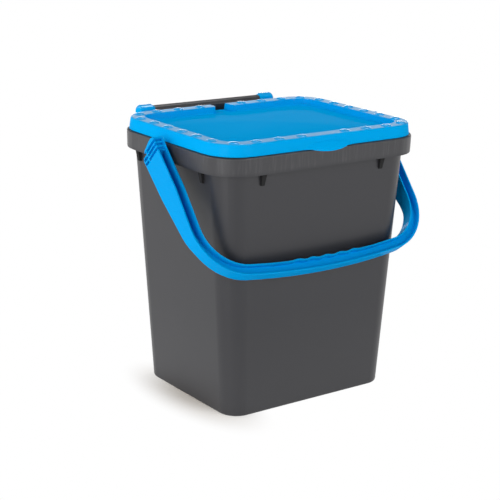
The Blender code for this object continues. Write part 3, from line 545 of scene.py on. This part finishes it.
def marks_group():
    """Shader nodes: upright marks, as a mask between zero and the given amount."""
    group = bpy.data.node_groups.new("drag_marks", "ShaderNodeTree")
    face = group.interface
    for name, value in (("Width", MARK_WIDTH), ("Length", MARK_LENGTH), ("Amount", 1.0)):
        face.new_socket(name, in_out="INPUT", socket_type="NodeSocketFloat").default_value = value
    face.new_socket("Mask", in_out="OUTPUT", socket_type="NodeSocketFloat")
    nodes, links = group.nodes, group.links
    given = nodes.new("NodeGroupInput")
    made = nodes.new("NodeGroupOutput")
    where = nodes.new("ShaderNodeTexCoord")
    size = nodes.new("ShaderNodeCombineXYZ")
    links.new(given.outputs["Width"], size.inputs["X"])
    links.new(given.outputs["Width"], size.inputs["Y"])
    links.new(given.outputs["Length"], size.inputs["Z"])
    stretched = nodes.new("ShaderNodeVectorMath")
    stretched.operation = "DIVIDE"
    links.new(where.outputs["Object"], stretched.inputs[0])
    links.new(size.outputs["Vector"], stretched.inputs[1])
    noise = nodes.new("ShaderNodeTexNoise")
    noise.inputs["Scale"].default_value = 1.0
    noise.inputs["Detail"].default_value = MARK_DETAIL
    links.new(stretched.outputs["Vector"], noise.inputs["Vector"])
    mask = nodes.new("ShaderNodeMapRange")
    mask.inputs["From Min"].default_value = MARK_FROM
    mask.inputs["From Max"].default_value = MARK_TO
    links.new(noise.outputs["Fac"], mask.inputs["Value"])
    links.new(given.outputs["Amount"], mask.inputs["To Max"])
    links.new(mask.outputs["Result"], made.inputs["Mask"])
    return group


drag_marks = marks_group()
print("marks:", drag_marks.name)

# %% Wear on the band and painted light near the floor
BAND_MARKS_FROM_Z = 0.374
BAND_MARKS_TO_Z = 0.380
# Painted light: below this height the wall is drawn paler towards the floor.
FOOT_LIGHT_TO_Z = 0.150


def height_ramp(nodes, links, from_z, to_z, from_value, to_value):
    """A value that runs from one to another between two heights on the object."""
    where = nodes.new("ShaderNodeTexCoord")
    parts = nodes.new("ShaderNodeSeparateXYZ")
    links.new(where.outputs["Object"], parts.inputs["Vector"])
    ramp = nodes.new("ShaderNodeMapRange")
    ramp.inputs["From Min"].default_value = from_z
    ramp.inputs["From Max"].default_value = to_z
    ramp.inputs["To Min"].default_value = from_value
    ramp.inputs["To Max"].default_value = to_value
    links.new(parts.outputs["Z"], ramp.inputs["Value"])
    return ramp.outputs["Result"]


def wear_and_foot_light(material, colour, paler, band_share, mark_share, foot_light_share):
    """Mixes in a paler colour: a little over the band and more in the marks, where it is worn, and some
    near the floor as painted light.
    """
    nodes, links = material.node_tree.nodes, material.node_tree.links
    band = height_ramp(nodes, links, BAND_MARKS_FROM_Z, BAND_MARKS_TO_Z, 0.0, 1.0)
    # Painted light: the paler grey grows towards the floor.
    foot_light = height_ramp(nodes, links, 0.0, FOOT_LIGHT_TO_Z, foot_light_share, 0.0)
    marks = nodes.new("ShaderNodeGroup")
    marks.node_tree = drag_marks
    marks.inputs["Amount"].default_value = mark_share
    on_band = nodes.new("ShaderNodeMath")
    on_band.operation = "ADD"
    links.new(marks.outputs["Mask"], on_band.inputs[0])
    on_band.inputs[1].default_value = band_share
    total = nodes.new("ShaderNodeMath")
    total.operation = "MULTIPLY_ADD"
    links.new(on_band.outputs["Value"], total.inputs[0])
    links.new(band, total.inputs[1])
    links.new(foot_light, total.inputs[2])
    mixed = nodes.new("ShaderNodeMixRGB")
    mixed.inputs["Color1"].default_value = (*colour, 1.0)
    mixed.inputs["Color2"].default_value = (*paler, 1.0)
    links.new(total.outputs["Value"], mixed.inputs["Fac"])
    links.new(mixed.outputs["Color"], nodes["Principled BSDF"].inputs["Base Color"])


# %% [markdown]
# The gussets hang in the shade of the band, and that shade is painted on them: their colour is made darker
# and their surface duller than the wall's. An Attribute node reads the note that was made on their faces,
# and with it as the factor one Mix node swaps the colour and another the roughness.

# %% Painted shade on the gussets
def paint_gusset_shade(material, darker, roughness):
    """Paints the band's shade on the gussets: a darker colour and a duller surface."""
    nodes, links = material.node_tree.nodes, material.node_tree.links
    shader = nodes["Principled BSDF"]
    where = nodes.new("ShaderNodeAttribute")
    where.attribute_name = GUSSET_MARK
    mixed = nodes.new("ShaderNodeMixRGB")
    links.new(shader.inputs["Base Color"].links[0].from_socket, mixed.inputs["Color1"])
    mixed.inputs["Color2"].default_value = (*darker, 1.0)
    links.new(where.outputs["Fac"], mixed.inputs["Fac"])
    dull = nodes.new("ShaderNodeMix")
    links.new(where.outputs["Fac"], dull.inputs["Factor"])
    links.new(shader.inputs["Roughness"].links[0].from_socket, dull.inputs["A"])
    dull.inputs["B"].default_value = roughness
    links.new(mixed.outputs["Color"], shader.inputs["Base Color"])
    links.new(dull.outputs["Result"], shader.inputs["Roughness"])


# %% [markdown]
# The blue plastics get their gloss as the shader's coat. The bail has an even skin of it. On the lid, the
# panel and the skirt are nearly matt, and the rim with its buttons is glossy. The rim is the lid's highest
# face, so a ramp in Z that is shorter than a millimetre raises the coat there and nowhere else.

# %% The gloss of the blue plastics
POLISH_FROM_Z = 0.4190
POLISH_TO_Z = 0.4198


def polish(material, weight, coat_roughness):
    """Gives a plastic an even skin of gloss."""
    shader = material.node_tree.nodes["Principled BSDF"]
    shader.inputs["Coat Weight"].default_value = weight
    shader.inputs["Coat Roughness"].default_value = coat_roughness


def polish_rim(material, rim_weight):
    """Gives the lid's rim and the buttons on it far more gloss than its matt faces have."""
    nodes, links = material.node_tree.nodes, material.node_tree.links
    coat = nodes["Principled BSDF"].inputs["Coat Weight"]
    gloss = height_ramp(nodes, links, POLISH_FROM_Z, POLISH_TO_Z, coat.default_value, rim_weight)
    links.new(gloss, coat)


# %% [markdown]
# With these helpers the three plastics are mixed. Their colours are linear values, which look darker as
# numbers than on the screen. The bail's blue is a little deeper than the lid's, as in the photograph.
# Every piece that is a copy of a solid then gets its plastic.

# %% Mix the three plastics
BUCKET_GREY = (0.0245, 0.0245, 0.0285)
# One paler grey serves the band's worn marks and the painted light near the floor.
WORN_AND_LIT_GREY = (0.110, 0.110, 0.115)
# Painted shade: the gussets under the band are drawn in this darker grey.
GUSSET_SHADE_GREY = (0.004, 0.004, 0.0045)
LID_BLUE = (0.0, 0.38, 0.83)
BAIL_BLUE = (0.0, 0.33, 0.76)
GREY_ROUGHNESS = 0.40
LID_ROUGHNESS = 0.36
BAIL_ROUGHNESS = 0.34
# The gussets' raised roughness belongs to their painted shade.
GUSSET_SHADE_ROUGHNESS = 0.9
GREY_MIRROR = 0.50
BLUE_MIRROR = 0.0
GREY_GRAIN = 0.00003
BLUE_GRAIN = 0.000015
BAND_SHARE = 0.12
MARK_SHARE = 0.22
# How much paler the wall is painted at the floor, as painted light.
FOOT_LIGHT_SHARE = 0.10
LID_GLOSS = 0.04
RIM_GLOSS = 1.0
LID_GLOSS_ROUGHNESS = 0.10
BAIL_GLOSS = 0.10
BAIL_GLOSS_ROUGHNESS = 0.12

grey_plastic = plastic("bucket_grey", BUCKET_GREY, GREY_ROUGHNESS, GREY_MIRROR, GREY_GRAIN)
lid_plastic = plastic("lid_blue", LID_BLUE, LID_ROUGHNESS, BLUE_MIRROR, BLUE_GRAIN)
bail_plastic = plastic("bail_blue", BAIL_BLUE, BAIL_ROUGHNESS, BLUE_MIRROR, BLUE_GRAIN)
wear_and_foot_light(grey_plastic, BUCKET_GREY, WORN_AND_LIT_GREY, BAND_SHARE, MARK_SHARE, FOOT_LIGHT_SHARE)
# Paints shade on the gussets under the band.
paint_gusset_shade(grey_plastic, GUSSET_SHADE_GREY, GUSSET_SHADE_ROUGHNESS)
polish(lid_plastic, LID_GLOSS, LID_GLOSS_ROUGHNESS)
polish_rim(lid_plastic, RIM_GLOSS)
polish(bail_plastic, BAIL_GLOSS, BAIL_GLOSS_ROUGHNESS)
DRESSED = (
    (bucket_shell, grey_plastic),
    (parting_ridges, grey_plastic),
    (lid_shell, lid_plastic),
    (bail_bow, bail_plastic),
)
for piece, material in DRESSED:
    piece.data.materials.clear()
    piece.data.materials.append(material)
print("plastics:", [material.name for material in (grey_plastic, lid_plastic, bail_plastic)])

# %% [markdown]
# Now the rim's buttons can be made, because their tree also gives them the lid's plastic. Each input of
# the tree is set by the identifier of its socket. The evaluated result is then kept as a plain mesh, which
# needs no modifier and is what an exporter can read.

# %% Put the buttons on the rim
def set_input(modifier, name, value):
    """Sets a Geometry Nodes modifier's input by the identifier of its socket."""
    for item in modifier.node_group.interface.items_tree:
        if item.name == name and item.in_out == "INPUT":
            modifier[item.identifier] = value


def make_real(piece):
    """Replaces a piece's modifiers by the plain mesh that they make."""
    evaluated = piece.evaluated_get(bpy.context.evaluated_depsgraph_get())
    mesh = bpy.data.meshes.new_from_object(evaluated)
    mesh.name = piece.name
    piece.modifiers.clear()
    piece.data = mesh


points = bmesh.new()
for x, y in button_places():
    points.verts.new((x, y, RIM_TOP_Z))
rim_buttons = new_piece("rim_buttons", points)
domes = rim_buttons.modifiers.new("domes", "NODES")
domes.node_group = dome_tree()
set_input(domes, "Radius", BUTTON_RADIUS)
set_input(domes, "Height", BUTTON_HEIGHT)
set_input(domes, "Material", lid_plastic)
make_real(rim_buttons)
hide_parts("lid")
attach(rim_buttons, "lid")
print("triangles of the buttons:", sum(len(face.vertices) - 2 for face in rim_buttons.data.polygons))

# %% [markdown]
# ## The studio
#
# The photograph was taken in a white studio, where a white floor runs into a white background. That white
# is the world itself as the camera sees it, so that no lamp has to burn it out. In mirror images the world
# is a room: its walls are white to a little above the horizon, and over them is a dim ceiling, so that the
# lid's level faces don't mirror plain white from above. As a light it is the same room, only weaker.

# %% The world
SKY_LIGHT = 0.55
WALL_TOP = 0.12
CEILING_FROM = 0.30
CEILING = 0.15


def seen_directly(nodes, links):
    """A factor that is one for the camera, for mirror images and for what shows through."""
    path = nodes.new("ShaderNodeLightPath")
    first = nodes.new("ShaderNodeMath")
    first.operation = "MAXIMUM"
    links.new(path.outputs["Is Camera Ray"], first.inputs[0])
    links.new(path.outputs["Is Glossy Ray"], first.inputs[1])
    second = nodes.new("ShaderNodeMath")
    second.operation = "MAXIMUM"
    links.new(first.outputs["Value"], second.inputs[0])
    links.new(path.outputs["Is Transmission Ray"], second.inputs[1])
    return second.outputs["Value"]


def room(nodes, links):
    """A factor for the studio's walls: one at the floor, and falling to the ceiling's dimness above."""
    where = nodes.new("ShaderNodeTexCoord")
    parts = nodes.new("ShaderNodeSeparateXYZ")
    links.new(where.outputs["Generated"], parts.inputs["Vector"])
    fall = nodes.new("ShaderNodeMapRange")
    fall.interpolation_type = "SMOOTHSTEP"
    fall.inputs["From Min"].default_value = WALL_TOP
    fall.inputs["From Max"].default_value = CEILING_FROM
    fall.inputs["To Min"].default_value = 1.0
    fall.inputs["To Max"].default_value = CEILING
    links.new(parts.outputs["Z"], fall.inputs["Value"])
    return fall.outputs["Result"]


def make_world():
    """A white world that lights the object softly and is plain white where the camera sees it."""
    world = bpy.data.worlds.new("studio")
    bpy.context.scene.world = world
    world.use_nodes = True
    nodes, links = world.node_tree.nodes, world.node_tree.links
    nodes.clear()
    light = nodes.new("ShaderNodeBackground")
    light.inputs["Strength"].default_value = SKY_LIGHT
    shown = nodes.new("ShaderNodeBackground")
    shown.inputs["Strength"].default_value = 1.0
    walls = room(nodes, links)
    path = nodes.new("ShaderNodeLightPath")
    bright = nodes.new("ShaderNodeMath")
    bright.operation = "MAXIMUM"
    links.new(walls, bright.inputs[0])
    links.new(path.outputs["Is Camera Ray"], bright.inputs[1])
    links.new(walls, light.inputs["Color"])
    links.new(bright.outputs["Value"], shown.inputs["Color"])
    mixed = nodes.new("ShaderNodeMixShader")
    links.new(seen_directly(nodes, links), mixed.inputs["Fac"])
    links.new(light.outputs["Background"], mixed.inputs[1])
    links.new(shown.outputs["Background"], mixed.inputs[2])
    made = nodes.new("ShaderNodeOutputWorld")
    links.new(mixed.outputs["Shader"], made.inputs["Surface"])


make_world()
print("world:", bpy.context.scene.world.name)

# %% [markdown]
# The floor is a wide sheet just under the caddy. To the light it is matt white everywhere. Where it is
# seen, only the caddy's shadow on its left matters, so the sheet stays matt in an ellipse there, in a
# slightly warm white, and fades around it into the plain white of the background.

# %% The white floor
FLOOR_HALF = 1.7
FLOOR_Z = -0.0003
FLOOR_WHITE = (0.94, 0.94, 0.94)
FLOOR_SEEN = (1.06, 0.99, 0.90)
SHADOW_AT = (-0.14, -0.015, 0)
SHADOW_REACH = (0.078, 0.185, 1)
SHADOW_CORE = 0.1


def outside_shadow(nodes, links):
    """A factor that is zero in the middle of the shadow's ellipse and rises to one at its edge."""
    where = nodes.new("ShaderNodeTexCoord")
    offset = nodes.new("ShaderNodeVectorMath")
    offset.operation = "SUBTRACT"
    offset.inputs[1].default_value = SHADOW_AT
    links.new(where.outputs["Object"], offset.inputs[0])
    scaled = nodes.new("ShaderNodeVectorMath")
    scaled.operation = "DIVIDE"
    scaled.inputs[1].default_value = SHADOW_REACH
    links.new(offset.outputs["Vector"], scaled.inputs[0])
    away = nodes.new("ShaderNodeVectorMath")
    away.operation = "LENGTH"
    links.new(scaled.outputs["Vector"], away.inputs[0])
    fade = nodes.new("ShaderNodeMapRange")
    fade.interpolation_type = "SMOOTHSTEP"
    fade.inputs["From Min"].default_value = SHADOW_CORE
    links.new(away.outputs["Value"], fade.inputs["Value"])
    return fade.outputs["Result"]


def floor_material():
    """A matt white that keeps the caddy's shadow and, where it is seen, fades into the background."""
    material = bpy.data.materials.new("floor_white")
    material.use_nodes = True
    nodes, links = material.node_tree.nodes, material.node_tree.links
    nodes.clear()
    seen = seen_directly(nodes, links)
    matt = nodes.new("ShaderNodeBsdfDiffuse")
    tint = nodes.new("ShaderNodeMixRGB")
    tint.inputs["Color1"].default_value = (*FLOOR_WHITE, 1.0)
    tint.inputs["Color2"].default_value = (*FLOOR_SEEN, 1.0)
    links.new(seen, tint.inputs["Fac"])
    links.new(tint.outputs["Color"], matt.inputs["Color"])
    share = nodes.new("ShaderNodeMath")
    share.operation = "MULTIPLY"
    links.new(outside_shadow(nodes, links), share.inputs[0])
    links.new(seen, share.inputs[1])
    white = nodes.new("ShaderNodeEmission")
    mixed = nodes.new("ShaderNodeMixShader")
    links.new(share.outputs["Value"], mixed.inputs["Fac"])
    links.new(matt.outputs["BSDF"], mixed.inputs[1])
    links.new(white.outputs["Emission"], mixed.inputs[2])
    made = nodes.new("ShaderNodeOutputMaterial")
    links.new(mixed.outputs["Shader"], made.inputs["Surface"])
    return material


def make_floor():
    """A wide white sheet under the caddy."""
    work = bmesh.new()
    place = Matrix.Translation((0, 0, FLOOR_Z))
    bmesh.ops.create_grid(work, x_segments=1, y_segments=1, size=FLOOR_HALF, matrix=place)
    floor = new_piece("studio_floor", work)
    floor.data.materials.append(floor_material())


make_floor()
print("floor:", 2 * FLOOR_HALF, "m wide")

# %% [markdown]
# Five soft boxes light the caddy: one low on its left, one in front, a small one high behind its right
# shoulder, a large one behind on the left that brightens the edges there, and a low strip behind on the
# right that glints on the buttons. Each is an area lamp that faces the caddy, so that its place is told by
# two angles and a distance.

# %% The lamps
LAMP_AIM = Vector((0, 0, 0.25))
# Azimuth and rise in degrees, then distance, width and height in metres, and power in watts.
LAMPS = {
    "left_box": (-62, 10, 2.6, 1.4, 1.4, 27.0),
    "front_box": (18, 20, 2.6, 1.4, 1.4, 25.0),
    "top_box": (110, 70, 2.6, 1.0, 1.0, 25.0),
    "edge_box": (-115, 26, 2.4, 2.0, 2.0, 28.0),
    "back_strip": (144, 5, 2.6, 1.9, 0.25, 9.0),
}


def direction(azimuth, rise):
    """The way from the caddy to a lamp. Azimuth 0 is in front of the caddy, and -90 is on its left."""
    turn, up = math.radians(azimuth), math.radians(rise)
    return Vector((math.sin(turn) * math.cos(up), -math.cos(turn) * math.cos(up), math.sin(up)))


def soft_lamp(name, azimuth, rise, distance, width, height, power):
    """A soft box that faces the caddy."""
    data = bpy.data.lights.new(name, "AREA")
    data.shape = "RECTANGLE"
    data.size = width
    data.size_y = height
    data.energy = power
    lamp = bpy.data.objects.new(name, data)
    bpy.context.scene.collection.objects.link(lamp)
    way = direction(azimuth, rise)
    lamp.location = LAMP_AIM + way * distance
    lamp.rotation_euler = (-way).to_track_quat("-Z", "Y").to_euler()


for name, settings in LAMPS.items():
    soft_lamp(name, *settings)
bpy.context.scene.view_settings.view_transform = "Standard"
print("lamps:", sorted(LAMPS))
